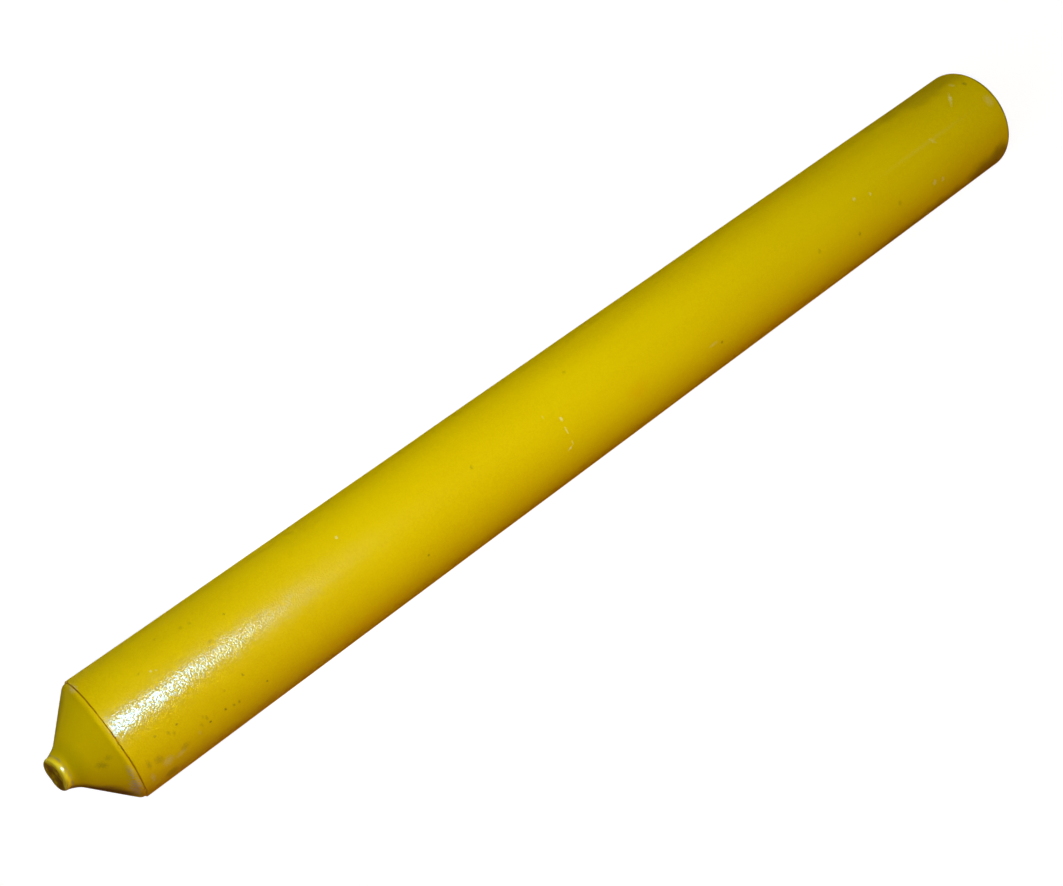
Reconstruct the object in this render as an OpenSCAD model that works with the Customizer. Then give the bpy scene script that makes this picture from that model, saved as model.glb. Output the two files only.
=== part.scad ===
// Wax crayon: one bare stick of wax, cast in one piece, standing on its flat butt.
//
// Frame: the origin is the middle of the butt's flat face, and +Z runs up the axis to the tip.
// The worn side of the tip faces -Y. Sizes are in millimetres.
//
// From the butt up, the stick is a parallel barrel, the parting edge where the mould's barrel met
// its nose, a short land, a cone, and a small tapered nub that marking has worn to a slant.

/* [Barrel] */
// Diameter of the parallel barrel
barrel_d = 9; // [7:0.1:14]
// Length of the barrel, from the butt's face to the parting edge
barrel_l = 87.6; // [30:0.1:140]
// Radius that rounds the edge of the butt
butt_edge_r = 0.35; // [0.1:0.05:0.8]

/* [Parting edge] */
// How far the barrel's edge stands proud of the land above it
parting_step = 0.1; // [0.07:0.01:0.3]
// Radius that breaks the barrel's proud edge
parting_edge_r = 0.06; // [0.02:0.01:0.09]

/* [Cone] */
// Height of the short land at the foot of the cone
land_h = 0.28; // [0.2:0.01:1]
// Draft of the land, which lets the stick leave the mould's nose, in degrees
land_draft = 10; // [2:1:20]
// Angle between the cone's side and the axis of the stick, in degrees
cone_angle = 47.5; // [35:0.5:55]
// Radius that rounds the land over into the cone
shoulder_r = 0.5; // [0.1:0.05:0.6]

/* [Nub] */
// Diameter at the root of the nub, where its side would meet the cone without the blend
nub_root_d = 3; // [2.6:0.1:4]
// Length of the nub, from its root to the end of the stick
nub_l = 1.1; // [0.9:0.05:2]
// Angle between the nub's side and the axis of the stick, in degrees
nub_angle = 26; // [10:1:30]
// Radius of the hollow blend between the cone and the nub
blend_r = 1.4; // [0.3:0.1:1.8]
// Radius that rounds the end of the nub
nub_edge_r = 0.25; // [0.1:0.05:0.4]

/* [Worn end] */
// Slant of the worn face from square, falling away towards -Y, in degrees
wear_slant = 16; // [4:1:24]
// Distance from the axis to the back edge of the worn face, where some of the square end is left
wear_back = 0.85; // [0.3:0.05:0.95]
// Diameter of the shallow hollow in the worn face
hollow_d = 1.5; // [0.6:0.05:1.7]
// Depth of that hollow
hollow_depth = 0.14; // [0.04:0.01:0.2]

/* [Hidden] */

// Steps in each rounded corner of the outline, and in a turn round the axis
arc_steps = 12;
turn_steps = 180;

barrel_r = barrel_d / 2;
land_foot_r = barrel_r - parting_step;
land_top_r = land_foot_r - land_h * tan(land_draft);
nub_root_r = nub_root_d / 2;
nub_end_r = nub_root_r - nub_l * tan(nub_angle);

land_top_z = barrel_l + land_h;
nub_root_z = land_top_z + (land_top_r - nub_root_r) / tan(cone_angle);
tip_z = nub_root_z + nub_l;

// The worn face runs from its back edge down to the nub's front side.
// Its middle is half way between the two, measured along the slant.
wear_width = (wear_back + nub_end_r) / cos(wear_slant);
hollow_r = hollow_d / 2;
hollow_ball_r = (hollow_r * hollow_r + hollow_depth * hollow_depth) / (2 * hollow_depth);

// Half outline of the stick: [distance from the axis, height, radius that rounds the corner]
OUTLINE = [
    [0, 0, 0],
    [barrel_r, 0, butt_edge_r],
    [barrel_r, barrel_l, parting_edge_r],
    [land_foot_r, barrel_l, 0],
    [land_top_r, land_top_z, shoulder_r],
    [nub_root_r, nub_root_z, blend_r],
    [nub_end_r, tip_z, nub_edge_r],
    [0, tip_z, 0],
];

function place(corner) = [corner[0], corner[1]];
function unit(v) = v / norm(v);

// Points of the arc of radius r that rounds the corner at b, between the sides to a and c
function rounded(a, b, c, r) =
    let (
        to_a = unit(a - b),
        to_c = unit(c - b),
        half_angle = acos(to_a * to_c) / 2,
        centre = b + unit(to_a + to_c) * r / sin(half_angle),
        first = b + to_a * r / tan(half_angle) - centre,
        last = b + to_c * r / tan(half_angle) - centre,
        sweep = 180 - 2 * half_angle
    )
    [
        for (i = [0:arc_steps])
            centre + (first * sin(sweep * (1 - i / arc_steps)) + last * sin(sweep * i / arc_steps))
                / sin(sweep)
    ];

function corner_points(i) =
    OUTLINE[i][2] == 0
        ? [place(OUTLINE[i])]
        : rounded(place(OUTLINE[i - 1]), place(OUTLINE[i]), place(OUTLINE[i + 1]), OUTLINE[i][2]);

// The stick as it left the mould
module cast_stick() {
    rotate_extrude($fn = turn_steps)
        polygon([for (i = [0:len(OUTLINE) - 1]) each corner_points(i)]);
}

// Places its children on the worn face, with +Z square out of the face
module on_worn_face() {
    translate([0, wear_back, tip_z])
        rotate([wear_slant, 0, 0])
            translate([0, -wear_width / 2, 0])
                children();
}

// The wax that marking has taken off: all that lies above the slant, and a shallow hollow in it
module worn_away() {
    on_worn_face() {
        translate([-barrel_r, -barrel_d, 0])
            cube([barrel_d, barrel_d + wear_width / 2, barrel_r]);
        translate([0, 0, hollow_ball_r - hollow_depth])
            sphere(r = hollow_ball_r, $fn = turn_steps);
    }
}

module crayon() {
    color([0.83, 0.74, 0.02])
        difference() {
            cast_stick();
            worn_away();
        }
}

crayon();
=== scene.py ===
# %% [markdown]
# # A wax crayon
#
# A crayon is about the simplest thing that a mould can make: one stick of coloured wax, with a
# round barrel, a cone, and a little nub that does the writing. That makes it a good lesson.
# Nothing here hides behind a clever shape, so the wax itself has to look right: its satin skin,
# the dirty line where the mould's two halves met, the bloom in its corners, the specks and
# scratches of use, and the nub worn to a slant.
#
# The stick stands on its flat butt, with its tip pointing up. Its two main sizes come from the
# frame. Sizes below are written in millimetres, and MM turns them into Blender's metres.

# %% Load the frame
import math

import bpy
from mathutils import Matrix, Vector, noise


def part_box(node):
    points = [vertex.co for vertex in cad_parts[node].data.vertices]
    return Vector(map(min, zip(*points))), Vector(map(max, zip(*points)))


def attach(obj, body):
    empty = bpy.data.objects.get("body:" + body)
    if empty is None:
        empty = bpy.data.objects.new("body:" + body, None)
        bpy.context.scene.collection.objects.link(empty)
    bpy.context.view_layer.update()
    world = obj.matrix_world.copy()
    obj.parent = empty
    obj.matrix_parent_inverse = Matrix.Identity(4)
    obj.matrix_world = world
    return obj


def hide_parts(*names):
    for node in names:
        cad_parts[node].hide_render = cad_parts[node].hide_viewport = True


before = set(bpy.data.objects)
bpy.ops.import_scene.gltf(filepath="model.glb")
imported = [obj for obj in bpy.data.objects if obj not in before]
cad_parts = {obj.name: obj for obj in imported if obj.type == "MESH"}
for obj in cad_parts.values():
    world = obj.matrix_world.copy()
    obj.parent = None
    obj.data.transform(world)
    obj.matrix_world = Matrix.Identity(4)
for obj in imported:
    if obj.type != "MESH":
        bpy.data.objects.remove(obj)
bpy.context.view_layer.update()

MM = 0.001
stick_low, stick_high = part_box("crayon")
BARREL_R = (stick_high.x - stick_low.x) / 2 / MM
TIP_Z = stick_high.z / MM
print(f"stick: {2 * BARREL_R:.2f} mm across and {TIP_Z:.2f} mm tall")

# %% [markdown]
# ## The camera
#
# A close-up of something this small has strong perspective: the near end of the stick looks half
# as thick again as the far end. The camera is only a hand's width from the wax, looks down a
# little, and is rolled over so that the standing stick lies across the picture with its tip at
# the lower left. Three turns say that better than a matrix does: roll, then tilt, then yaw.

# %% Place the camera
LENS_MM = 54.0
SENSOR_MM = 36.0
CAMERA_PLACE = Vector((0.0, -106.07, 99.43)) * MM
CAMERA_YAW = math.radians(0.31)
CAMERA_TILT = math.radians(65.61)
CAMERA_ROLL = math.radians(-125.83)
CLIP_NEAR = 5 * MM
CLIP_FAR = 100.0

camera_data = bpy.data.cameras.new("camera")
camera_data.lens = LENS_MM
camera_data.sensor_width = SENSOR_MM
camera_data.clip_start = CLIP_NEAR
camera_data.clip_end = CLIP_FAR
camera = bpy.data.objects.new("camera", camera_data)
camera.matrix_world = (
    Matrix.Translation(CAMERA_PLACE)
    @ Matrix.Rotation(CAMERA_YAW, 4, "Z")
    @ Matrix.Rotation(CAMERA_TILT, 4, "X")
    @ Matrix.Rotation(CAMERA_ROLL, 4, "Z")
)
bpy.context.scene.collection.objects.link(camera)
bpy.context.scene.camera = camera
bpy.context.scene.view_settings.view_transform = "Standard"
print(f"camera: {CAMERA_PLACE.length / MM:.0f} mm from the butt")

# %% [markdown]
# ## Small helpers for node trees
#
# A material is a long chain of small steps. Short chains are quickly laid out by hand in the
# Shader Editor. For a long one, helpers that each add one kind of node keep a step to one line,
# so that the lines further down can talk about wax and not about sockets.


# %% Helpers for shader nodes
def fill(tree, socket, value):
    """Joins a socket to the one given, or sets it to the plain value given."""
    if isinstance(value, bpy.types.NodeSocket):
        tree.links.new(value, socket)
    else:
        socket.default_value = value


def add_node(tree, kind, **inputs):
    """Adds a node. Inputs are given by name, with _ for a space, as a value or as a socket."""
    node = tree.nodes.new(kind)
    for name, value in inputs.items():
        fill(tree, node.inputs[name.replace("_", " ")], value)
    return node


def of_kind(sockets, kind):
    """The sockets that carry one kind of value. Some nodes use the same name for several kinds."""
    return [socket for socket in sockets if socket.type == kind]


def calculate(tree, operation, *values, clamp=False):
    """One sum of a Math node, as its output socket."""
    node = add_node(tree, "ShaderNodeMath")
    node.operation = operation
    node.use_clamp = clamp
    for socket, value in zip(node.inputs, values):
        fill(tree, socket, value)
    return node.outputs["Value"]


print("helpers: fill, add_node, of_kind, calculate")

# %% [markdown]
# The next helpers say what is wanted of a mask, which is a value from 0 to 1 all over the wax.
# Masks are multiplied where both have to hold, and the strongest is taken where either may. A
# fade turns any measure, such as a height, into a mask with soft edges.


# %% Helpers for masks and colours
def times(tree, first, *others):
    """Several values multiplied together."""
    for other in others:
        first = calculate(tree, "MULTIPLY", first, other)
    return first


def strongest(tree, first, *others):
    """The greatest of several masks at each point."""
    for other in others:
        first = calculate(tree, "MAXIMUM", first, other)
    return first


def between(tree, mask, low, high):
    """A mask squeezed into the range from low, where it is 0, to high, where it is 1."""
    return calculate(tree, "MULTIPLY_ADD", mask, high - low, low)


def fade(tree, value, start, end):
    """A soft step: 0 where value is at start, and 1 where it is at end."""
    node = add_node(tree, "ShaderNodeMapRange", Value=value, From_Min=start, From_Max=end)
    node.interpolation_type = "SMOOTHSTEP"
    return node.outputs["Result"]


def blend_colours(tree, share, first, second):
    """A mix of two colours: the first where share is 0, the second where it is 1."""
    node = add_node(tree, "ShaderNodeMix")
    node.data_type = "RGBA"
    fill(tree, node.inputs["Factor"], share)
    for socket, colour in zip(of_kind(node.inputs, "RGBA"), (first, second)):
        fill(tree, socket, colour)
    return of_kind(node.outputs, "RGBA")[0]


print("helpers: times, strongest, between, fade, blend_colours")

# %% [markdown]
# ## The floor
#
# The stick stands on a plain pale sheet. A white floor would throw its light back on to the wax
# and wash its colour out. So the floor has two faces, picked with a Light Path node. To the
# camera, and in reflections, it is close to white, and still dark enough to keep the stick's
# shadow. To the light that bounces on to the wax it is an ordinary pale grey.

# %% Make the floor
FLOOR_HALF_WIDTH = 40.0
FLOOR_GREY = 0.16
FLOOR_SHADED_PART = 0.14
FLOOR_GLOW_NEAR = 0.925
FLOOR_GLOW_FAR = 1.0
FLOOR_FADE_START = 0.1
FLOOR_FADE_END = 0.6


def grey(level):
    """A grey of one level, as a colour."""
    return (level, level, level, 1.0)


def seen_directly(tree):
    """1 for the rays that show the background: from the camera, by reflection or through glass."""
    path = add_node(tree, "ShaderNodeLightPath").outputs
    reflected = calculate(tree, "ADD", path["Is Camera Ray"], path["Is Glossy Ray"])
    return calculate(tree, "ADD", reflected, path["Is Transmission Ray"], clamp=True)


def join_shaders(tree, kind, first, second, **inputs):
    """A node that takes two shaders, with both joined up, as its output socket."""
    node = add_node(tree, kind, **inputs)
    for socket, shader in zip(of_kind(node.inputs, "SHADER"), (first, second)):
        fill(tree, socket, shader)
    return node.outputs["Shader"]


def make_floor_material():
    """A pale floor: an ordinary grey for light that bounces, and near white for what is seen."""
    material = bpy.data.materials.new("pale_floor")
    material.use_nodes = True
    tree = material.node_tree
    tree.nodes.clear()
    bounced = add_node(tree, "ShaderNodeBsdfDiffuse", Color=grey(FLOOR_GREY)).outputs["BSDF"]
    shaded = add_node(tree, "ShaderNodeBsdfDiffuse", Color=grey(FLOOR_SHADED_PART)).outputs["BSDF"]
    place = add_node(tree, "ShaderNodeTexCoord").outputs["Object"]
    distance = add_node(tree, "ShaderNodeVectorMath", Vector=place)
    distance.operation = "LENGTH"
    away = fade(tree, distance.outputs["Value"], FLOOR_FADE_START, FLOOR_FADE_END)
    glow_level = between(tree, away, FLOOR_GLOW_NEAR, FLOOR_GLOW_FAR)
    glow = add_node(tree, "ShaderNodeEmission", Strength=glow_level).outputs["Emission"]
    seen = join_shaders(tree, "ShaderNodeAddShader", shaded, glow)
    chosen = join_shaders(tree, "ShaderNodeMixShader", bounced, seen, Fac=seen_directly(tree))
    add_node(tree, "ShaderNodeOutputMaterial", Surface=chosen)
    return material


half = FLOOR_HALF_WIDTH
floor_corners = [(-half, -half, 0), (half, -half, 0), (half, half, 0), (-half, half, 0)]
floor_mesh = bpy.data.meshes.new("floor")
floor_mesh.from_pydata(floor_corners, [], [(0, 1, 2, 3)])
floor_mesh.materials.append(make_floor_material())
floor = bpy.data.objects.new("floor", floor_mesh)
bpy.context.scene.collection.objects.link(floor)
print("floor: level with the butt, at z = 0")

# %% [markdown]
# ## The light that comes from everywhere
#
# A room lights a small thing from all sides, and seldom evenly. An image of a room could do that.
# A soft step from one side of the world to the other is enough for a plain stick: light grey on
# the open side, and dark and warm on the other, as it would be over a wooden bench. The backdrop
# is chosen in the same way as the floor's two faces, so that a white one adds no light.

# %% Make the surround
OPEN_SIDE = (0.22, 0.22, 0.22, 1.0)
SHADED_SIDE = (0.05, 0.01, 0.0, 1.0)
SHADED_AT = -1.0
OPEN_AT = 0.4
BACKDROP_WHITE = 1.0


def light_world():
    """A soft surround that is open towards +X and shaded towards -X."""
    world = bpy.data.worlds.new("soft_surround")
    bpy.context.scene.world = world
    world.use_nodes = True
    tree = world.node_tree
    tree.nodes.clear()
    direction = add_node(tree, "ShaderNodeTexCoord").outputs["Generated"]
    to_right = add_node(tree, "ShaderNodeSeparateXYZ", Vector=direction).outputs["X"]
    openness = fade(tree, to_right, SHADED_AT, OPEN_AT)
    colour = blend_colours(tree, openness, SHADED_SIDE, OPEN_SIDE)
    surround = add_node(tree, "ShaderNodeBackground", Color=colour).outputs["Background"]
    backdrop = add_node(tree, "ShaderNodeBackground", Color=grey(BACKDROP_WHITE))
    backdrop = backdrop.outputs["Background"]
    chosen = join_shaders(tree, "ShaderNodeMixShader", surround, backdrop, Fac=seen_directly(tree))
    add_node(tree, "ShaderNodeOutputWorld", Surface=chosen)


light_world()
print("surround: level", OPEN_SIDE[0], "on the open side and", SHADED_SIDE[0], "on the other")

# %% [markdown]
# ## The lamps
#
# Five soft boxes stand round the stick.
#
# - **key_box** is small and near the camera. It is near enough for its light to fall off towards
#   the far end, and it is kept out of reflections.
# - **glint_box** is a flat strip in almost the same place, and does only reflections: one bright
#   streak on the wax behind the tip. Its blue tint makes up for the yellow under the coat, which
#   would otherwise turn the streak yellow.
# - **warm_box** stands on the shaded side, and turns the edge there to amber.
# - **side_box** and **back_box** are broad and stand behind, so that the stick also reads well
#   from the other side.
#
# One lamp could do the work of the first two. Two lamps let the streak and the wax be set apart.
# A lamp's power is worked out from its distance, so that level always means the same brightness.

# %% Place the lamps
NO_TINT = (1.0, 1.0, 1.0)
GLINT_TINT = (0.22, 0.62, 1.0)
WARM_TINT = (1.0, 0.16, 0.0)
GLINT_BOX_THICKNESS = 8.0

SOFT_BOXES = {
    # name: degrees round from the -Y side, distance, height, height aimed at, width, level, tint
    "key_box": (8.5, 106, 68, 68, 18, 0.83, NO_TINT),
    "glint_box": (7.2, 106, 80, 80, 30, 24.0, GLINT_TINT),
    "warm_box": (-88, 300, 60, 50, 200, 0.21, WARM_TINT),
    "side_box": (150, 320, 140, 46, 220, 0.3, NO_TINT),
    "back_box": (190, 340, 200, 46, 300, 0.75, NO_TINT),
}


def soft_box(name, degrees, distance, height, aim_height, width, level, tint):
    """A round soft box, bright enough to light the wax to level."""
    turn = math.radians(degrees)
    place = Vector((math.sin(turn) * distance, -math.cos(turn) * distance, height)) * MM
    aim = Vector((0, 0, aim_height)) * MM
    reach = (place - aim).length - BARREL_R * MM
    data = bpy.data.lights.new(name, "AREA")
    data.shape = "DISK"
    data.size = width * MM
    data.energy = level * math.pi**2 * reach**2
    data.color = tint
    lamp = bpy.data.objects.new(name, data)
    lamp.location = place
    lamp.rotation_mode = "QUATERNION"
    lamp.rotation_quaternion = (place - aim).to_track_quat("Z", "Y")
    lamp.visible_camera = False
    bpy.context.scene.collection.objects.link(lamp)
    print(f"{name}: {data.energy:.3f} W at {reach / MM:.0f} mm")
    return lamp


lamps = {name: soft_box(name, *settings) for name, settings in SOFT_BOXES.items()}
lamps["key_box"].visible_glossy = False
lamps["glint_box"].visible_diffuse = False
lamps["glint_box"].data.shape = "ELLIPSE"
lamps["glint_box"].data.size_y = GLINT_BOX_THICKNESS * MM

# %% [markdown]
# ## The shape of the stick
#
# The stick was cast, so it is a turned shape: one outline, spun round the axis. A Screw modifier
# on a curve would give that. Building the rings one by one gives more, because each ring can be set
# closer to its neighbours where the form is small, at the parting edge and on the nub, and can
# then be nudged out of true, which is what tells the eye that this is wax and not a machined rod.
#
# The outline is a list of corners. Each has a distance from the axis, a height, the radius that
# rounds it, and how closely the rings lie on the way to the next corner.

# %% Set out the corners
BARREL_L = 87.6
BUTT_EDGE_R = 0.35
PARTING_STEP = 0.1
PARTING_EDGE_R = 0.06
LAND_H = 0.28
LAND_DRAFT = math.radians(10)
SHOULDER_R = 0.5
NUB_ROOT_R = 1.5
NUB_L = 1.1
NUB_ANGLE = math.radians(26)
BLEND_R = 1.4
NUB_EDGE_R = 0.25

LAND_FOOT_R = BARREL_R - PARTING_STEP
LAND_TOP_R = LAND_FOOT_R - LAND_H * math.tan(LAND_DRAFT)
NUB_ROOT_Z = TIP_Z - NUB_L
NUB_END_R = NUB_ROOT_R - NUB_L * math.tan(NUB_ANGLE)

CORNERS = [
    # distance from the axis, height, corner radius, ring spacing up to the next corner
    (0.0, 0.0, 0.0, 0.3),
    (BARREL_R, 0.0, BUTT_EDGE_R, 0.5),
    (BARREL_R, BARREL_L, PARTING_EDGE_R, 0.03),
    (LAND_FOOT_R, BARREL_L, 0.0, 0.05),
    (LAND_TOP_R, BARREL_L + LAND_H, SHOULDER_R, 0.1),
    (NUB_ROOT_R, NUB_ROOT_Z, BLEND_R, 0.05),
    (NUB_END_R, TIP_Z, NUB_EDGE_R, 0.05),
    (0.0, TIP_Z, 0.0, 0.0),
]
print(f"outline: {len(CORNERS)} corners, from the butt's middle to the tip's")

# %% [markdown]
# No corner in a casting is quite sharp, because a mould's own edges are a little round and wax
# shrinks away from them. A Bevel modifier rounds all edges alike, but here every corner has its
# own radius. So each corner is swapped for a short arc, and the straight runs between the arcs
# are then cut into steps. The bend from the cone into the nub is rounded in the same way.

# %% Round the corners and set out the rings
CORNER_STEPS = 8


def rounded_corner(before, corner, after, radius):
    """Points on the arc that rounds a corner."""
    to_before = (before - corner).normalized()
    to_after = (after - corner).normalized()
    half_angle = to_before.angle(to_after) / 2
    centre = corner + (to_before + to_after).normalized() * radius / math.sin(half_angle)
    first = corner + to_before * radius / math.tan(half_angle) - centre
    last = corner + to_after * radius / math.tan(half_angle) - centre
    sweep = math.pi - 2 * half_angle
    points = []
    for step in range(CORNER_STEPS + 1):
        share = step / CORNER_STEPS
        first_part = math.sin(sweep * (1 - share)) / math.sin(sweep)
        last_part = math.sin(sweep * share) / math.sin(sweep)
        points.append(centre + first * first_part + last * last_part)
    return points


def outline_points():
    """The outline from the butt's middle to the tip's, as (distance from the axis, height)."""
    places = [Vector((radius, height)) for radius, height, _, _ in CORNERS]
    points = []
    for index, (_, _, corner_radius, spacing) in enumerate(CORNERS):
        arc = [places[index]]
        if corner_radius:
            before, corner, after = places[index - 1 : index + 2]
            arc = rounded_corner(before, corner, after, corner_radius)
        if points:
            run = arc[0] - points[-1]
            steps = max(1, round(run.length / spacing_before))
            points += [points[-1] + run * (step / steps) for step in range(1, steps)]
        points += arc
        spacing_before = spacing
    return points


rings = outline_points()
print(f"outline: {len(rings)} rings")

# %% [markdown]
# ## Out of true
#
# A cast stick is never quite round or straight. Its barrel wanders by a hundredth of a
# millimetre or two, enough to make a highlight wobble. Its parting edge wavers where wax has
# crept between the mould's two halves. A Displace modifier could do the first, but not the
# second, which is only wanted near one height. Noise that is looked up point by point does both.

# %% Let the barrel wander and the parting edge waver
BARREL_WANDER = 0.02
BARREL_WANDER_LENGTH = 9.0
WANDER_FROM_R = NUB_ROOT_R
WANDER_FULL_R = NUB_ROOT_R * 2
WANDER_FULL_Z = 1.0
PARTING_WAVER = 0.035
PARTING_WAVER_LENGTH = 1.1
PARTING_REACH = 0.5


def smooth_step(value, start, end):
    """0 where value is at start, 1 where it is at end, and a soft climb between them."""
    share = min(max((value - start) / (end - start), 0.0), 1.0)
    return share * share * (3 - 2 * share)


def hump(value, middle, width):
    """1 where value is at the middle, falling softly to 0 on both sides."""
    return math.exp(-(((value - middle) / width) ** 2))


def barrel_wander(place, radius):
    """How far a point stands proud of true. The butt's face and the nub don't wander."""
    on_side = smooth_step(radius, WANDER_FROM_R, WANDER_FULL_R)
    on_side *= smooth_step(place.z, 0, WANDER_FULL_Z)
    return on_side * BARREL_WANDER * noise.noise(place / BARREL_WANDER_LENGTH)


def parting_waver(height, side_x, side_y):
    """How far a point by the parting edge is lifted or let down."""
    around = Vector((side_x, side_y, 0)) * (BARREL_R / PARTING_WAVER_LENGTH)
    return hump(height, BARREL_L, PARTING_REACH) * PARTING_WAVER * noise.noise(around)


print(f"barrel: wanders by up to {BARREL_WANDER} mm, parting edge by up to {PARTING_WAVER} mm")

# %% [markdown]
# ## The worn nub
#
# The nub has been used. Marking has cut it off at a slant, left the middle of the worn face a
# little hollow, and rolled a lip of soft wax out over the edge. A Boolean cut would leave the
# slant with an edge like a knife's, and Sculpt Mode would make a good lip that can't be changed
# later. Here each point above the cut is let down on to it, softly, and then pushed to make the
# hollow and the lip. Places on the face are told as a share of the way from the axis to its rim.

# %% Wear the nub down
WEAR_SLANT = math.tan(math.radians(16))
WEAR_BACK = 0.85
WEAR_SOFTNESS = 0.03
WEAR_SOFT_REACH = 30.0
HOLLOW_FLAT_SHARE = 0.2
HOLLOW_EDGE_SHARE = 0.82
HOLLOW_DEPTH = 0.1
LIP_SHARE = 0.86
LIP_WIDTH = 0.16
LIP_HEIGHT = 0.1
LIP_AT_BACK = 0.55
LIP_FLARE = 0.13
LIP_REACH = 0.16
FLARE_FROM_SHARE = 0.7
WORN_LUMP = 0.08
WORN_LUMP_SIZE = 0.35


def worn_height(x, y):
    """Height of the slanted worn face at a place on the nub."""
    return TIP_Z + WEAR_SLANT * (y - WEAR_BACK)


def worn_rim(front):
    """Distance from the axis to the worn face's rim; front is 1 at the -Y side and -1 at +Y."""
    slope = WEAR_SLANT * math.tan(NUB_ANGLE)
    return (NUB_END_R + slope * WEAR_BACK) / (1 - slope * front)


def softly_lower(first, second, softness):
    """The lower of two heights, with the bend from one to the other rounded off."""
    gap = (first - second) / softness
    if gap < -WEAR_SOFT_REACH:
        return first
    return second - softness * math.log(1 + math.exp(-gap))


def wear_nub(radius, height, side_x, side_y, lump):
    """The radius and height of a point once it is worn, and how far inside the rim it is."""
    front = -side_y
    rim = worn_rim(front)
    share = radius / rim
    cut = worn_height(side_x * radius, side_y * radius)
    worn = smooth_step(height - cut, 0.0, WEAR_SOFTNESS)
    below_rim = max(cut - height, 0.0)

    towards_front = LIP_AT_BACK + (1 - LIP_AT_BACK) * max(front, 0.0)
    lip = LIP_HEIGHT * towards_front * hump(share, LIP_SHARE, LIP_WIDTH)
    hollow = HOLLOW_DEPTH * (1 - smooth_step(share, HOLLOW_FLAT_SHARE, HOLLOW_EDGE_SHARE))
    bumps = WORN_LUMP * lump * (1 - share)
    flare = LIP_FLARE * towards_front * hump(below_rim, 0, LIP_REACH)
    flare *= smooth_step(share, FLARE_FROM_SHARE, 1.0)

    worn_z = softly_lower(height, cut, WEAR_SOFTNESS) + worn * (lip - hollow + bumps)
    inside_rim = rim * (1 - share) * worn - below_rim
    return radius + flare, worn_z, inside_rim


print(f"worn face: rim {worn_rim(0):.2f} mm from the axis, at height {worn_height(0, 0):.2f} mm")

# %% [markdown]
# ## The mesh
#
# With every nudge at hand, the mesh is simple: one point in the middle of the butt, rings of
# points, and one point at the tip's middle, all in one closed skin. How far inside the worn rim
# each point lies goes along as an attribute, which the wax can read: above 0 on the worn face, 0
# on the rim and below 0 on the nub's side. Dirt and shine can then follow the wear exactly.

# %% Build the mesh
AROUND = 256
NUB_ZONE_Z = NUB_ROOT_Z - NUB_L
FAR_FROM_RIM = 2.0


def shape_point(radius, height, turn):
    """A point of the stick, nudged out of true and worn, and how far inside the rim it is."""
    side_x = math.sin(turn)
    side_y = -math.cos(turn)
    true_place = Vector((side_x * radius, side_y * radius, height))
    radius += barrel_wander(true_place, radius)
    height += parting_waver(height, side_x, side_y)
    inside_rim = -FAR_FROM_RIM
    if height > NUB_ZONE_Z:
        lump = noise.noise(true_place / WORN_LUMP_SIZE)
        radius, height, inside_rim = wear_nub(radius, height, side_x, side_y, lump)
    return Vector((side_x * radius, side_y * radius, height)) * MM, inside_rim


def stick_faces(ring_count):
    """Faces between the butt's middle, which is point 0, the rings, and the tip's middle."""
    tip = 1 + ring_count * AROUND
    last_ring = tip - AROUND
    faces = []
    for step in range(AROUND):
        after = (step + 1) % AROUND
        faces.append((0, 1 + after, 1 + step))
        for low in range(1, last_ring, AROUND):
            high = low + AROUND
            faces.append((low + step, low + after, high + after, high + step))
        faces.append((last_ring + step, last_ring + after, tip))
    return faces


def build_stick():
    """The whole stick as one closed mesh."""
    inner_rings = rings[1:-1]
    shaped = [shape_point(*rings[0], 0.0)]
    for radius, height in inner_rings:
        shaped += [shape_point(radius, height, math.tau * step / AROUND) for step in range(AROUND)]
    shaped.append(shape_point(*rings[-1], 0.0))

    mesh = bpy.data.meshes.new("wax_stick")
    mesh.from_pydata([place for place, _ in shaped], [], stick_faces(len(inner_rings)))
    mesh.validate()
    mesh.shade_smooth()
    attribute = mesh.attributes.new("inside_rim", "FLOAT", "POINT")
    attribute.data.foreach_set("value", [inside_rim for _, inside_rim in shaped])
    return mesh


stick = bpy.data.objects.new("wax_stick", build_stick())
bpy.context.scene.collection.objects.link(stick)
triangles = sum(len(polygon.vertices) - 2 for polygon in stick.data.polygons)
print(f"wax_stick: {len(stick.data.vertices)} points, {triangles} triangles")

# %% [markdown]
# ## Where am I on the stick?
#
# Wax has no grain of its own to follow, so nothing here needs an image or an unwrapping. Marks
# do need addresses, though. Cutting the barrel open along its back and rolling it out flat gives
# two: how far round a point lies, measured as an arc along the skin, and how high it is. Both
# come out in millimetres, so that every mark below can be written in its real size. This is a
# shader node group, because nearly all the effects start from it.

# %% Node group: the skin rolled out flat
FLOAT_SOCKET = "NodeSocketFloat"


def new_group(name, inputs, outputs):
    """A shader node group; its inputs are (name, default) and its outputs are names."""
    tree = bpy.data.node_groups.new(name, "ShaderNodeTree")
    for socket_name, default in inputs:
        socket = tree.interface.new_socket(socket_name, in_out="INPUT", socket_type=FLOAT_SOCKET)
        socket.default_value = default
    for socket_name in outputs:
        tree.interface.new_socket(socket_name, in_out="OUTPUT", socket_type=FLOAT_SOCKET)
    return tree, add_node(tree, "NodeGroupInput").outputs, add_node(tree, "NodeGroupOutput").inputs


def use_group(tree, group, **inputs):
    """Places a group in a material, with its inputs filled in by name."""
    node = add_node(tree, "ShaderNodeGroup")
    node.node_tree = group
    for name, value in inputs.items():
        fill(tree, node.inputs[name.replace("_", " ")], value)
    return node.outputs


def place_on_stick(tree):
    """Where a point is in the stick's own space, split into X, Y and Z."""
    place = add_node(tree, "ShaderNodeTexCoord").outputs["Object"]
    return add_node(tree, "ShaderNodeSeparateXYZ", Vector=place).outputs


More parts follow.
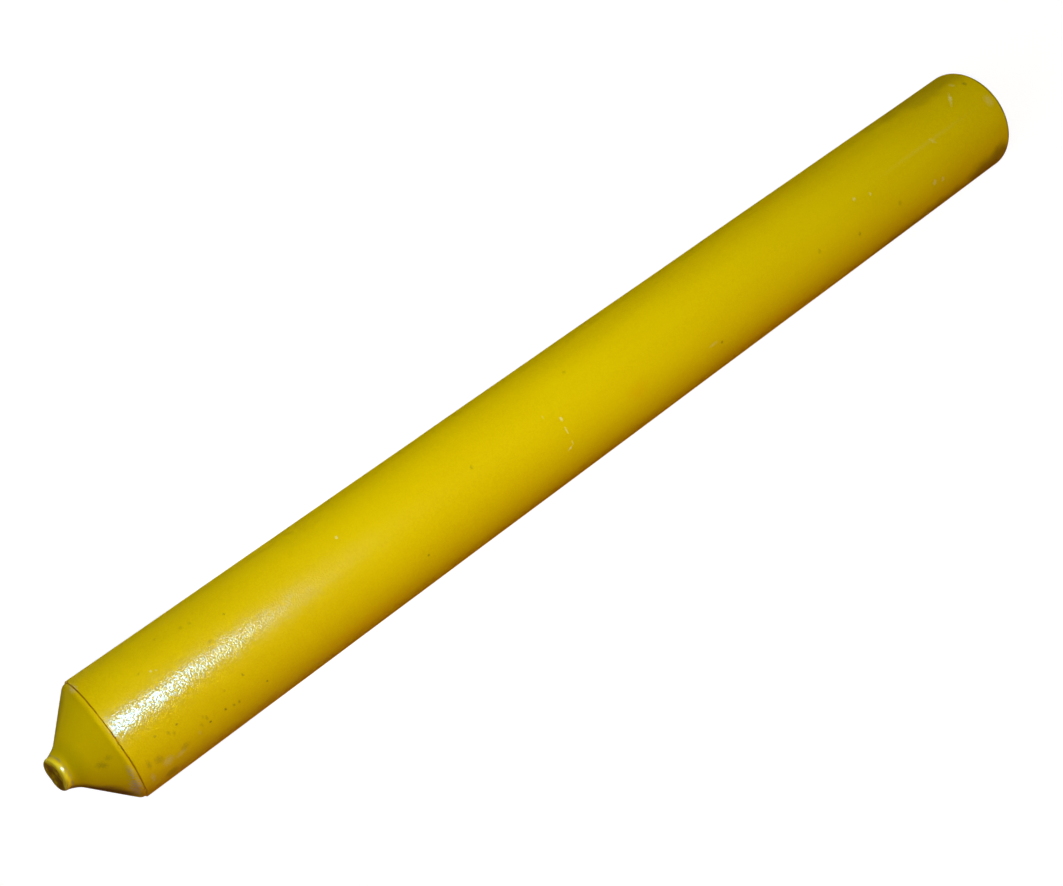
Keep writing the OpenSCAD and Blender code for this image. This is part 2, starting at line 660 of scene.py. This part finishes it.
def make_rolled_out():
    tree, _, results = new_group("rolled_out", [], ["Arc", "Height"])
    place = place_on_stick(tree)
    forward = calculate(tree, "MULTIPLY", place["Y"], -1.0)
    turn = calculate(tree, "ARCTAN2", place["X"], forward)
    fill(tree, results["Arc"], calculate(tree, "MULTIPLY", turn, BARREL_R))
    fill(tree, results["Height"], calculate(tree, "DIVIDE", place["Z"], MM))
    return tree


def arc_at(degrees):
    """An angle round the barrel, from the -Y side towards +X, as an arc in millimetres."""
    return math.radians(degrees) * BARREL_R


rolled_out = make_rolled_out()
print("rolled_out: a full turn is", round(arc_at(360), 1), "mm of arc")

# %% [markdown]
# ## Kinds of mark
#
# Three groups make every mark on the wax.
#
# - **clouds** is soft mottling: noise that can be stretched along the stick.
# - **specks** scatters small dots at random. A Voronoi texture cuts the wax into cells and gives
#   each cell a random colour; only a few cells are lucky enough to hold a dot.
# - **blot** is one mark at one address, with a ragged edge and a soft one. Long thin blots make
#   scratches and broad faint ones make stains.
#
# Painting on an image would do too, but a painted mark is stuck in its place and at its
# sharpness. A blot can be moved by changing a number, and stays sharp however near it is seen.


# %% Node groups: clouds and specks
WOBBLE_FINENESS = 6.0
WOBBLE_DETAIL = 2.0
DOT_HARD_PART = 0.5


def counted_in_sizes(tree, across, along):
    """The place on the stick, counted in sizes of a mark instead of in metres."""
    place = place_on_stick(tree)
    across = calculate(tree, "MULTIPLY", across, MM)
    along = calculate(tree, "MULTIPLY", along, MM)
    x = calculate(tree, "DIVIDE", place["X"], across)
    y = calculate(tree, "DIVIDE", place["Y"], across)
    z = calculate(tree, "DIVIDE", place["Z"], along)
    return add_node(tree, "ShaderNodeCombineXYZ", X=x, Y=y, Z=z).outputs["Vector"]


def noise_value(tree, place, fineness, detail):
    """Soft noise round about 0.5, as its output socket."""
    node = add_node(tree, "ShaderNodeTexNoise", Vector=place, Scale=fineness, Detail=detail)
    return node.outputs["Fac"]


def make_clouds():
    inputs = [("Across", 1.0), ("Along", 1.0), ("Detail", 3.0), ("Low", 0.35), ("High", 0.65)]
    tree, given, results = new_group("clouds", inputs, ["Mask"])
    place = counted_in_sizes(tree, given["Across"], given["Along"])
    cloud = noise_value(tree, place, 1.0, given["Detail"])
    fill(tree, results["Mask"], fade(tree, cloud, given["Low"], given["High"]))
    return tree


def make_specks():
    inputs = [("Spacing", 2.0), ("Size", 0.1), ("Share", 0.1)]
    tree, given, results = new_group("specks", inputs, ["Mask"])
    place = counted_in_sizes(tree, given["Spacing"], given["Spacing"])
    wobble = noise_value(tree, place, WOBBLE_FINENESS, WOBBLE_DETAIL)
    cells = add_node(tree, "ShaderNodeTexVoronoi", Vector=place, Scale=1.0).outputs
    luck = add_node(tree, "ShaderNodeSeparateColor", Color=cells["Color"]).outputs
    size = calculate(tree, "DIVIDE", given["Size"], given["Spacing"])
    size = times(tree, size, calculate(tree, "ADD", luck["Green"], wobble))
    dot = fade(tree, cells["Distance"], size, times(tree, size, DOT_HARD_PART))
    lucky = calculate(tree, "LESS_THAN", luck["Red"], given["Share"])
    fill(tree, results["Mask"], times(tree, dot, lucky))
    return tree


clouds = make_clouds()
specks = make_specks()
for group in (clouds, specks):
    print(f"{group.name}: {len(group.nodes)} nodes")

# %% [markdown]
# A blot starts as a circle, pulled into an oval by its two half sizes and turned by its lean.
# Noise is added to the distance from its middle, which eats into its edge here and pushes it out
# there, as dirt and scrapes do.


# %% Node group: blot
def make_blot():
    inputs = [("Arc", 0.0), ("Height", 0.0), ("Middle Arc", 0.0), ("Middle Height", 0.0)]
    inputs += [("Lean", 0.0), ("Half Width", 0.1), ("Half Height", 0.1)]
    inputs += [("Edge", 0.5), ("Ragged", 0.0)]
    tree, given, results = new_group("blot", inputs, ["Mask"])
    sideways = calculate(tree, "SUBTRACT", given["Arc"], given["Middle Arc"])
    upwards = calculate(tree, "SUBTRACT", given["Height"], given["Middle Height"])
    cosine = calculate(tree, "COSINE", given["Lean"])
    sine = calculate(tree, "SINE", given["Lean"])
    turned_x = calculate(tree, "MULTIPLY_ADD", sideways, cosine, times(tree, upwards, sine))
    along = times(tree, upwards, cosine)
    turned_y = calculate(tree, "SUBTRACT", along, times(tree, sideways, sine))
    share_x = calculate(tree, "DIVIDE", turned_x, given["Half Width"])
    share_y = calculate(tree, "DIVIDE", turned_y, given["Half Height"])
    distance = calculate(tree, "MULTIPLY_ADD", share_y, share_y, times(tree, share_x, share_x))
    distance = calculate(tree, "SQRT", distance)
    distance = calculate(tree, "ADD", distance, given["Ragged"])
    inner = calculate(tree, "SUBTRACT", 1.0, given["Edge"])
    fill(tree, results["Mask"], fade(tree, distance, 1.0, inner))
    return tree


blot = make_blot()
print(f"{blot.name}: {len(blot.nodes)} nodes")

# %% [markdown]
# ## The marks of use
#
# A crayon lives loose among other crayons, so its skin tells where it has been. Scattering marks
# at random would be quicker than placing them, but random marks look alike all over, and real
# ones gather: near the tip, where the stick is held, and wherever it rubs on its neighbours.
#
# So each mark is written down as its height, its angle round from the -Y side in degrees, its
# half width and half height in millimetres, how far it leans in degrees, and its strength. They
# are sorted by kind. These are the ones that darken: dirt pressed into the wax, and broad patches
# of painted shade on the cone's underside and edge and along the sides near the butt, where the
# wax turns from the light.

# %% List the dark marks
DARK_MARKS = [
    # height, angle, half width, half height, lean, strength
    (81.0, -39.7, 0.15, 0.13, 0, 0.75),
    (80.4, -41.6, 0.20, 0.12, 20, 0.5),
    (80.0, -42.1, 0.18, 0.12, -20, 0.5),
    (82.2, -41.1, 0.14, 0.12, 0, 0.8),
    (82.3, -35.3, 0.24, 0.16, 0, 0.3),
    (82.5, -32.6, 0.16, 0.14, 0, 0.22),
    (82.8, -38.4, 0.26, 0.16, 30, 0.2),
    (79.0, -22.9, 0.18, 0.14, 0, 0.45),
    (77.8, -42.0, 0.13, 0.12, 0, 0.6),
    (77.7, 27.6, 0.11, 0.12, 0, 0.6),
    (85.6, -21.5, 0.13, 0.12, 0, 0.55),
    (84.8, -25.8, 0.24, 0.14, 20, 0.3),
    (84.5, -29.0, 0.26, 0.13, -20, 0.26),
    (84.1, -23.9, 0.11, 0.16, 0, 0.55),
    (80.3, 42.1, 0.22, 0.16, 0, 0.2),
    (79.7, 40.1, 0.20, 0.16, 0, 0.18),
    (79.5, 15.3, 0.18, 0.22, 0, 0.25),
    (82.0, 48.2, 0.14, 0.14, 0, 0.28),
    (84.2, 28.1, 0.14, 0.14, 0, 0.25),
    (80.5, -24.8, 0.12, 0.12, 0, 0.3),
    (86.1, -41.5, 0.48, 0.40, 20, 0.34),
    (86.8, -39.0, 0.50, 0.26, 0, 0.3),
    (84.3, -46.5, 0.40, 0.45, 20, 0.26),
    (58.1, 6.4, 0.22, 0.20, 0, 0.3),
    (47.8, 29.3, 0.22, 0.20, 0, 0.25),
    (23.7, -20.6, 0.26, 0.20, 0, 0.3),
    (19.3, -31.4, 0.26, 0.22, 0, 0.4),
    (14.3, -30.1, 0.30, 0.34, 30, 0.2),
    (1.3, 35.6, 0.30, 0.26, 0, 0.5),
    (89.0, -22.0, 0.50, 0.40, 20, 0.32),
    (88.5, -16.0, 0.34, 0.30, -20, 0.22),
]
# Painted shade, not dirt: dark patches on the cone's underside and upper edge, on the lower side by
# the parting line, and along both sides near the butt.
PAINTED_SHADE_PATCHES = [
    # height, angle, half width, half height, lean, strength
    (90.2, -98.0, 3.7, 3.6, 0, 0.9),
    (89.8, 99.0, 3.1, 3.2, 0, 0.4),
    (85.7, -66.0, 0.6, 0.6, 0, 0.24),
    (1.5, -77.0, 3.0, 5.5, 0, 0.5),
    (2.0, 77.0, 3.2, 11.0, 0, 0.25),
    (9.0, -85.0, 2.2, 12.0, 0, 0.33),
]
print("dark marks:", len(DARK_MARKS), "of dirt and", len(PAINTED_SHADE_PATCHES), "of grime")

# %% [markdown]
# And these are the ones that lighten or warm the wax: pale scuffs where its skin was scraped,
# with one faint long streak of painted sheen among them, the grey bloom that gathers by the
# parting line, where wax sweats and dries, and a warm stain with long strips of painted warm
# light along the sides.

# %% List the pale and warm marks
SCUFFS_AND_SHEEN = [
    # height, angle, half width, half height, lean, strength
    (50.41, -5.1, 0.24, 0.15, 0, 0.85),
    (50.50, -16.6, 0.38, 0.09, 0, 0.6),
    (50.48, -29.4, 0.24, 0.09, 0, 0.45),
    (50.80, -33.2, 0.10, 0.36, 21, 0.7),
    (51.5, 5.8, 0.20, 0.10, 0, 0.25),
    (68.7, 25.4, 0.17, 0.15, 0, 0.9),
    (83.5, 23.9, 0.13, 0.10, 0, 0.9),
    (83.2, 21.8, 0.10, 0.09, 0, 0.7),
    (36.1, -34.5, 0.20, 0.70, 0, 0.22),
    (18.3, 2.0, 0.24, 0.22, 0, 0.55),
    (16.7, -3.3, 0.22, 0.20, 0, 0.42),
    (10.0, -34.8, 0.34, 0.34, 20, 0.32),
    (9.0, -37.9, 0.32, 0.28, 0, 0.32),
    (8.4, 3.7, 0.50, 0.24, 40, 0.22),
    # Painted sheen, not a scuff: a faint pale streak along the line of the highlight.
    (9.0, 5.0, 0.30, 8.0, 0, 0.05),
    (3.8, 29.5, 0.20, 1.20, 47, 0.3),
    (3.7, 30.5, 0.24, 0.50, 47, 0.5),
    (2.1, 44.2, 0.40, 0.30, 0, 0.2),
    (1.0, 3.7, 0.80, 0.60, 0, 0.2),
    (85.6, -49.0, 0.50, 0.55, 20, 0.26),
    (84.7, -50.5, 0.30, 0.60, 10, 0.2),
    (86.9, -55.0, 0.60, 0.25, 0, 0.22),
    (83.1, -44.0, 0.30, 0.20, 0, 0.12),
]
BLOOM_PATCHES = [
    # height, angle, half width, half height, lean, strength
    (87.65, 58.0, 0.7, 0.30, 0, 0.7),
    (88.0, -58.0, 1.9, 0.40, -6, 0.85),
    (87.9, -38.0, 1.0, 0.26, 0, 0.6),
]
# A small stain, then three long strips of painted warm light along the sides, standing in for light
# off a warm bench.
WARM_STAINS_AND_LIGHT = [
    # height, angle, half width, half height, lean, strength
    (43.8, -25.9, 0.9, 1.4, 0, 0.3),
    (70.0, -60.0, 1.4, 6.0, 0, 0.3),
    (30.0, -62.0, 1.2, 8.0, 0, 0.3),
    (22.0, 62.0, 1.0, 5.0, 0, 0.2),
]
print("pale marks:", len(SCUFFS_AND_SHEEN), "scuffs and", len(BLOOM_PATCHES), "of bloom")
print("warm marks:", len(WARM_STAINS_AND_LIGHT), "stains")

# %% [markdown]
# A list of marks becomes one mask. Where marks overlap the strongest one wins, because dirt on
# dirt is no darker than dirt. One noise is shared by the whole list, and frays all their edges.

# %% Turn a list of marks into a mask
MARK_RAGGEDNESS = 0.12
STAIN_RAGGEDNESS = 0.5
PAINTED_SHADE_RAGGEDNESS = 1.6
MARK_EDGE = 0.8
PAINTED_SHADE_EDGE = 0.55
MARK_RAGGED = 0.8
PAINTED_SHADE_RAGGED = 0.3
RAGGED_DETAIL = 3.0


def marks_mask(tree, flat, marks, raggedness, edge=MARK_EDGE, ragged_part=MARK_RAGGED):
    """One mask for a whole list of marks; raggedness is the size of the notches in their edges."""
    rolled = add_node(tree, "ShaderNodeCombineXYZ", X=flat["Arc"], Y=flat["Height"])
    ragged = noise_value(tree, rolled.outputs["Vector"], 1 / raggedness, RAGGED_DETAIL)
    ragged = between(tree, ragged, -ragged_part, ragged_part)
    shapes = []
    for height, angle, half_width, half_height, lean, strength in marks:
        shape = use_group(
            tree, blot, Arc=flat["Arc"], Height=flat["Height"], Middle_Arc=arc_at(angle),
            Middle_Height=height, Lean=math.radians(lean), Half_Width=half_width,
            Half_Height=half_height, Edge=edge, Ragged=ragged,
        )
        shapes.append(times(tree, shape["Mask"], strength))
    return strongest(tree, *shapes)


print("edges: a dirt mark is frayed every", MARK_RAGGEDNESS, "mm and grime every", PAINTED_SHADE_RAGGEDNESS)

# %% [markdown]
# ## The wax's own colour
#
# Crayon wax is pigment stirred into paraffin. The pigment settles a little unevenly while the
# wax sets, so one flat yellow would look like plastic. Clouds of several sizes carry that here:
# broad ones that run up the stick, streaks from the pouring, and fine mottling. They are only a
# shade apart, because the eye picks up a very small difference over so plain a surface.
#
# The finest of all is the **grain**, noise about a tenth of a millimetre across. It comes back
# below in the shine and in the bumps, so it is made by plain nodes in the material itself.

# %% Mix the wax's own colour
WAX_YELLOW = (0.75, 0.555, 0.0, 1.0)
WAX_DEEP = (0.71, 0.50, 0.0, 1.0)
WAX_PALE = (0.78, 0.59, 0.0, 1.0)
# Painted light: a paler yellow laid over the cone, standing in for light the lamps give it too
# little of.
CONE_PAINTED_LIGHT_YELLOW = (0.81, 0.60, 0.0, 1.0)

MOTTLING = {
    # name: size across and along the stick, detail, noise level where it starts and is full
    "broad": (7.0, 16.0, 2.0, 0.35, 0.65),
    "streaks": (0.7, 9.0, 3.0, 0.42, 0.75),
    "mottle": (0.35, 0.4, 3.0, 0.3, 0.7),
    "patches": (0.9, 1.3, 4.0, 0.3, 0.62),
    "powder": (0.16, 0.16, 3.0, 0.38, 0.62),
    "crumbs": (0.11, 0.11, 2.0, 0.28, 0.52),
    "uneven": (0.8, 0.8, 3.0, 0.25, 0.6),
    "blotches": (0.3, 0.3, 4.0, 0.3, 0.65),
}
GRAIN_SIZE = 0.116
GRAIN_DETAIL = 0.0
GRAIN_LOW = 0.4
GRAIN_HIGH = 0.6

BROAD_SHARE = 0.6
STREAK_SHARE = 0.35
MOTTLE_SHARE = 0.3
GRAIN_SHARE = 0.5
CONE_PAINTED_LIGHT_SHARE = 0.8
CONE_STARTS = BARREL_L + 0.2
CONE_FULL = BARREL_L + 0.8


def make_mottling(tree):
    """All the kinds of mottling, each as a mask."""
    masks = {}
    for name, settings in MOTTLING.items():
        inputs = dict(zip(("Across", "Along", "Detail", "Low", "High"), settings))
        masks[name] = use_group(tree, clouds, **inputs)["Mask"]
    return masks


def make_grain(tree):
    """The fine grain of the wax, as a mask."""
    place = add_node(tree, "ShaderNodeTexCoord").outputs["Object"]
    grain = noise_value(tree, place, 1 / (GRAIN_SIZE * MM), GRAIN_DETAIL)
    return fade(tree, grain, GRAIN_LOW, GRAIN_HIGH)


def lay_over(tree, colour, mask, share, new_colour):
    """Lays a colour over what is there, where mask says, covering at most share of it."""
    return blend_colours(tree, times(tree, mask, share), colour, new_colour)


def wax_colour(tree, flat, mottling, grain):
    """The colour of clean wax, with the cone painted paler as painted light."""
    colour = lay_over(tree, WAX_YELLOW, mottling["broad"], BROAD_SHARE, WAX_DEEP)
    colour = lay_over(tree, colour, mottling["streaks"], STREAK_SHARE, WAX_DEEP)
    colour = lay_over(tree, colour, mottling["mottle"], MOTTLE_SHARE, WAX_PALE)
    colour = lay_over(tree, colour, grain, GRAIN_SHARE, WAX_PALE)
    # Painted light: the cone is painted paler.
    on_cone = fade(tree, flat["Height"], CONE_STARTS, CONE_FULL)
    return lay_over(tree, colour, on_cone, CONE_PAINTED_LIGHT_SHARE, CONE_PAINTED_LIGHT_YELLOW)


print("wax: yellow, with", len(MOTTLING), "kinds of mottling and grain of", GRAIN_SIZE, "mm")

# %% [markdown]
# ## Dirt, scuffs, painted shade and the seam
#
# None of these is solid paint. Scuffs and bloom are wax powder and dirt is crumbs, so each mask
# is broken up by a mottling of its own before it is used. The broad patches of painted shade get
# ragged edges, and the painted shade along the butt's edge is made uneven. A few random specks
# are added to the marks that were placed, since dust falls anywhere. The seam is the thin brown
# line where the mould's halves met: dirt sits in it, but not all the way round.

# %% Masks for marks and the seam
BLOOM_STRENGTH = (0.2, 1.0)
SCUFF_STRENGTH = (0.7, 1.1)
DIRT_STRENGTH = (0.25, 1.0)
BUTT_SHADE_STRENGTH = (0.35, 0.85)
SEAM_STRENGTH = (0.1, 0.7)

PALE_SPECKS = {"Spacing": 3.4, "Size": 0.10, "Share": 0.2}
DARK_SPECKS = {"Spacing": 3.0, "Size": 0.11, "Share": 0.14}
PALE_SPECK_STRENGTH = 0.4
DARK_SPECK_STRENGTH = 0.45

BUTT_SHADE_ENDS = 0.5
BUTT_SHADE_FULL = 0.12
SEAM_HALF_WIDTH = 0.045
SEAM_OUTER = SEAM_HALF_WIDTH * 1.6
SEAM_INNER = SEAM_HALF_WIDTH * 0.4


def with_specks(tree, mask, settings, strength):
    """A mask with random specks added to it."""
    dots = use_group(tree, specks, **settings)["Mask"]
    return strongest(tree, mask, times(tree, dots, strength))


def pale_masks(tree, flat, mottling):
    """Masks for what lightens or warms the wax."""
    powder = mottling["powder"]
    bloom = marks_mask(tree, flat, BLOOM_PATCHES, MARK_RAGGEDNESS)
    scuff_and_sheen = marks_mask(tree, flat, SCUFFS_AND_SHEEN, MARK_RAGGEDNESS)
    scuff_and_sheen = with_specks(tree, scuff_and_sheen, PALE_SPECKS, PALE_SPECK_STRENGTH)
    return {
        "stain_and_warm_light": marks_mask(tree, flat, WARM_STAINS_AND_LIGHT, STAIN_RAGGEDNESS),
        "bloom": times(tree, bloom, between(tree, powder, *BLOOM_STRENGTH)),
        "scuff_and_sheen": times(tree, scuff_and_sheen, between(tree, powder, *SCUFF_STRENGTH)),
    }


def dark_masks(tree, flat, mottling):
    """Masks for dirt, painted shade and the seam."""
    uneven = mottling["uneven"]
    dirt = marks_mask(tree, flat, DARK_MARKS, MARK_RAGGEDNESS)
    dirt = times(tree, dirt, between(tree, mottling["crumbs"], *DIRT_STRENGTH))
    dirt = with_specks(tree, dirt, DARK_SPECKS, DARK_SPECK_STRENGTH)
    # Painted shade: the dark patches listed above.
    painted_shade = marks_mask(tree, flat, PAINTED_SHADE_PATCHES, PAINTED_SHADE_RAGGEDNESS, PAINTED_SHADE_EDGE, PAINTED_SHADE_RAGGED)
    # Painted shade: darker towards the butt's bottom edge, where its rounded edge turns from the
    # light.
    butt_edge_shade = fade(tree, flat["Height"], BUTT_SHADE_ENDS, BUTT_SHADE_FULL)
    butt_edge_shade = times(tree, butt_edge_shade, between(tree, uneven, *BUTT_SHADE_STRENGTH))
    from_seam = calculate(tree, "SUBTRACT", flat["Height"], BARREL_L)
    from_seam = calculate(tree, "ABSOLUTE", from_seam)
    seam = fade(tree, from_seam, SEAM_OUTER, SEAM_INNER)
    return {
        "dirt": dirt,
        "painted_shade": strongest(tree, painted_shade, butt_edge_shade),
        "seam": times(tree, seam, between(tree, uneven, *SEAM_STRENGTH)),
    }


print("seam:", 2 * SEAM_OUTER, "mm wide at the most, at height", BARREL_L, "mm")

# %% [markdown]
# ## The colours of the worn nub
#
# The worn face is painted brown: partly the dirt of whatever it is rubbed on, partly painted
# shade, since the face turns away from the lamps. The lip round it is painted paler on its front,
# which is painted light. Just below the lip runs a thin painted shadow, and the neck under it is
# painted a little darker. The inside_rim attribute says where each of them begins and ends. At
# the back the face runs out flat, with no lip, and its brown spreads over the edge, as painted
# shade on the side turned from the lamps.

# %% Masks for the worn nub
NUB_BANDS = {
    # name: where it starts, is full from, is full to and ends, in mm inside the rim
    "neck": (-1.3, -0.6, -0.3, -0.15),
    # Painted shadow under the lip.
    "painted_lip_shadow": (-0.38, -0.28, -0.26, -0.16),
    "lip": (-0.2, -0.1, 0.08, 0.2),
}
WORN_DIRT_AND_SHADE_STARTS = 0.14
WORN_DIRT_AND_SHADE_FULL = 0.32
BACK_STARTS = 5.0
BACK_FULL = 8.0
BACK_SPREAD = 0.3
LIP_LIGHT_FADES_FROM = 4.5
LIP_LIGHT_GONE_AT = 7.5
WORN_STRENGTH = (0.45, 0.95)
PAINTED_LIP_SHADOW_STRENGTH = (0.1, 0.7)
LIP_LIGHT_STRENGTH = (0.5, 1.0)


def nub_band(tree, inside_rim, name):
    """A mask for a band round the nub, soft on both sides."""
    starts, full_from, full_to, ends = NUB_BANDS[name]
    lower_side = fade(tree, inside_rim, starts, full_from)
    return times(tree, lower_side, fade(tree, inside_rim, ends, full_to))


def nub_masks(tree, flat, mottling):
    """Masks for the worn face, the painted light on its lip, the painted shadow below it and the
    neck.
    """
    rim = add_node(tree, "ShaderNodeAttribute")
    rim.attribute_name = "inside_rim"
    inside_rim = rim.outputs["Fac"]
    blotches = mottling["blotches"]
    round_from_front = calculate(tree, "ABSOLUTE", flat["Arc"])
    # Behind the nub the brown spreads over the rim: painted shade on the side turned from the
    # lamps.
    behind = fade(tree, round_from_front, BACK_STARTS, BACK_FULL)
    spread = calculate(tree, "MULTIPLY_ADD", behind, BACK_SPREAD, inside_rim)
    worn = fade(tree, spread, WORN_DIRT_AND_SHADE_STARTS, WORN_DIRT_AND_SHADE_FULL)
    # Painted light: the lip is painted paler, on its front only.
    lip = times(
        tree,
        nub_band(tree, inside_rim, "lip"),
        between(tree, blotches, *LIP_LIGHT_STRENGTH),
        fade(tree, round_from_front, LIP_LIGHT_GONE_AT, LIP_LIGHT_FADES_FROM),
    )
    # Painted shadow under the overhanging lip.
    painted_lip_shadow = nub_band(tree, inside_rim, "painted_lip_shadow")
    return {
        "worn": times(tree, worn, between(tree, blotches, *WORN_STRENGTH)),
        "neck": nub_band(tree, inside_rim, "neck"),
        "painted_lip_shadow": times(tree, painted_lip_shadow, between(tree, blotches, *PAINTED_LIP_SHADOW_STRENGTH)),
        "lip": lip,
    }


print("nub:", len(NUB_BANDS), "bands and the worn face")

# %% [markdown]
# ## The shine
#
# Wax is never mirror bright. It has a thin satin skin that shines where hands have polished it,
# which is the end by the tip. Making all the wax glossier would turn it to plastic. A weak coat
# over a matt base does better, because the coat alone can be broken up: by the grain, which makes
# a streak of light sparkle, and by worn patches, the cone, scuffs and dirt, which dull it. It is
# let down towards the outline too, with a Layer Weight node, since matt wax shows no mirror there.

# %% Mask for the satin coat
GRAIN_SHINE = (0.15, 1.0)
PATCH_SHINE = (0.5, 1.0)
HANDLED_SHINE = (0.25, 1.0)
CONE_SHINE = (0.3, 1.0)
MARKED_SHINE = (1.0, 0.2)
HANDLED_STARTS = 61.0
HANDLED_FULL = 79.0
BARREL_SHINE_ENDS = BARREL_L + 0.3
EVEN_BLEND = 0.5
HEAD_ON_POWER = 1.5
LIP_POLISH = 2.5


def coat_mask(tree, flat, mottling, grain, masks):
    """How strong the satin coat is, from 0 to 1 and a little over on the lip."""
    facing = add_node(tree, "ShaderNodeLayerWeight", Blend=EVEN_BLEND).outputs["Facing"]
    head_on = calculate(tree, "SUBTRACT", 1.0, facing)
    handled = fade(tree, flat["Height"], HANDLED_STARTS, HANDLED_FULL)
    on_barrel = fade(tree, flat["Height"], BARREL_SHINE_ENDS, BARREL_L)
    on_barrel = between(tree, on_barrel, *CONE_SHINE)
    # Dirt, scuffs, the worn face and the painted shade all dull the coat.
    dirty = strongest(tree, masks["dirt"], masks["scuff_and_sheen"], masks["worn"], masks["painted_shade"])
    return times(
        tree,
        between(tree, grain, *GRAIN_SHINE),
        between(tree, mottling["patches"], *PATCH_SHINE),
        calculate(tree, "POWER", head_on, HEAD_ON_POWER),
        between(tree, handled, *HANDLED_SHINE),
        strongest(tree, on_barrel, times(tree, masks["lip"], LIP_POLISH)),
        between(tree, dirty, *MARKED_SHINE),
    )


print("coat: polished from", HANDLED_STARTS, "mm up, and fully from", HANDLED_FULL, "mm")

# %% [markdown]
# ## The bumps
#
# The grain stands up from the skin too, by a few thousandths of a millimetre. Modelling that
# would need millions of faces. A Bump node bends the light as if they were there. The wax gets a
# soft bump, made of ripples along the streaks and over the patches, with a little grain on top.
# The coat gets a bump of its own, which is only grain, so that its streak of light breaks into
# sparkles while the shading of the wax below stays smooth.

# %% Bumps for the wax and its coat
BUMP_DEPTH = 0.05 * MM
WAX_BUMP_STRENGTH = 0.35
COAT_BUMP_STRENGTH = 0.115
STREAK_RIPPLE = 0.08
PATCH_RIPPLE = 0.05
GRAIN_RIPPLE = 0.15


def bump(tree, height, strength):
    """A normal bent by a height, as its output socket."""
    node = add_node(tree, "ShaderNodeBump", Height=height, Strength=strength, Distance=BUMP_DEPTH)
    return node.outputs["Normal"]


def wax_bump(tree, mottling, grain):
    """The soft bumps of the wax itself."""
    patches = times(tree, mottling["patches"], PATCH_RIPPLE)
    ripples = calculate(tree, "MULTIPLY_ADD", mottling["streaks"], STREAK_RIPPLE, patches)
    ripples = calculate(tree, "MULTIPLY_ADD", grain, GRAIN_RIPPLE, ripples)
    return bump(tree, ripples, WAX_BUMP_STRENGTH)


print(f"bumps: up to {BUMP_DEPTH / MM} mm deep")

# %% [markdown]
# ## The wax, put together
#
# Everything is at hand now, and the material reads like a recipe. Clean wax comes first. Over it
# go the layers, in this order: stains with strips of painted warm light, and bloom, in the skin,
# then scuffs with one streak of painted sheen, dirt and painted shade, the seam, and last the worn
# nub, with its painted light and shadow, which cut through all of them. Numbers that are the same
# all over, such as the coat's roughness, are typed straight into the shader.

# %% Make the wax
LAYERS = [
    # name, how much it covers at the most, colour
    # one stain, and painted warm light along the sides
    ("stain_and_warm_light", 1.0, (0.78, 0.44, 0.0, 1.0)),
    ("bloom", 1.0, (0.60, 0.48, 0.27, 1.0)),
    # pale scuffs, and one streak of painted sheen
    ("scuff_and_sheen", 1.0, (0.84, 0.76, 0.30, 1.0)),
    ("dirt", 1.0, (0.17, 0.09, 0.02, 1.0)),
    # painted shade, darker where the wax turns from the light
    ("painted_shade", 1.0, (0.09, 0.03, 0.008, 1.0)),
    ("seam", 1.0, (0.50, 0.20, 0.0, 1.0)),
    # brown dirt on the worn face, partly painted shade
    ("worn", 1.0, (0.34, 0.17, 0.012, 1.0)),
    # the neck, painted a little darker
    ("neck", 0.4, (0.46, 0.35, 0.0, 1.0)),
    # painted shadow under the lip
    ("painted_lip_shadow", 1.0, (0.36, 0.28, 0.12, 1.0)),
    # painted light: paler wax on the front of the lip
    ("lip", 0.8, (0.86, 0.72, 0.02, 1.0)),
]
WAX_ROUGHNESS = 0.6
WAX_SPECULAR = 0.0
COAT_STRENGTH = 0.4
COAT_ROUGHNESS = 0.25
COAT_IOR = 1.25


def make_wax():
    """Yellow crayon wax, used and a little dirty, under a satin coat."""
    material = bpy.data.materials.new("yellow_wax")
    material.use_nodes = True
    tree = material.node_tree
    shader = tree.nodes["Principled BSDF"].inputs
    flat = use_group(tree, rolled_out)
    mottling = make_mottling(tree)
    grain = make_grain(tree)
    masks = {
        **pale_masks(tree, flat, mottling),
        **dark_masks(tree, flat, mottling),
        **nub_masks(tree, flat, mottling),
    }

    colour = wax_colour(tree, flat, mottling, grain)
    for name, share, layer_colour in LAYERS:
        colour = lay_over(tree, colour, masks[name], share, layer_colour)
    fill(tree, shader["Base Color"], colour)
    fill(tree, shader["Normal"], wax_bump(tree, mottling, grain))
    shader["Roughness"].default_value = WAX_ROUGHNESS
    shader["Specular IOR Level"].default_value = WAX_SPECULAR

    coat = coat_mask(tree, flat, mottling, grain, masks)
    fill(tree, shader["Coat Weight"], times(tree, coat, COAT_STRENGTH))
    fill(tree, shader["Coat Normal"], bump(tree, grain, COAT_BUMP_STRENGTH))
    shader["Coat Roughness"].default_value = COAT_ROUGHNESS
    shader["Coat IOR"].default_value = COAT_IOR
    return material


wax = make_wax()
stick.data.materials.append(wax)
print(f"{wax.name}: {len(wax.node_tree.nodes)} nodes, {len(LAYERS)} layers over the clean wax")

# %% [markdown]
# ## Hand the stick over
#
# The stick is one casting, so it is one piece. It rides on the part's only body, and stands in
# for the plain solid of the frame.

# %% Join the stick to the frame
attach(stick, "root")
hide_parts("crayon")
print("wax_stick: rides on root, in place of crayon")
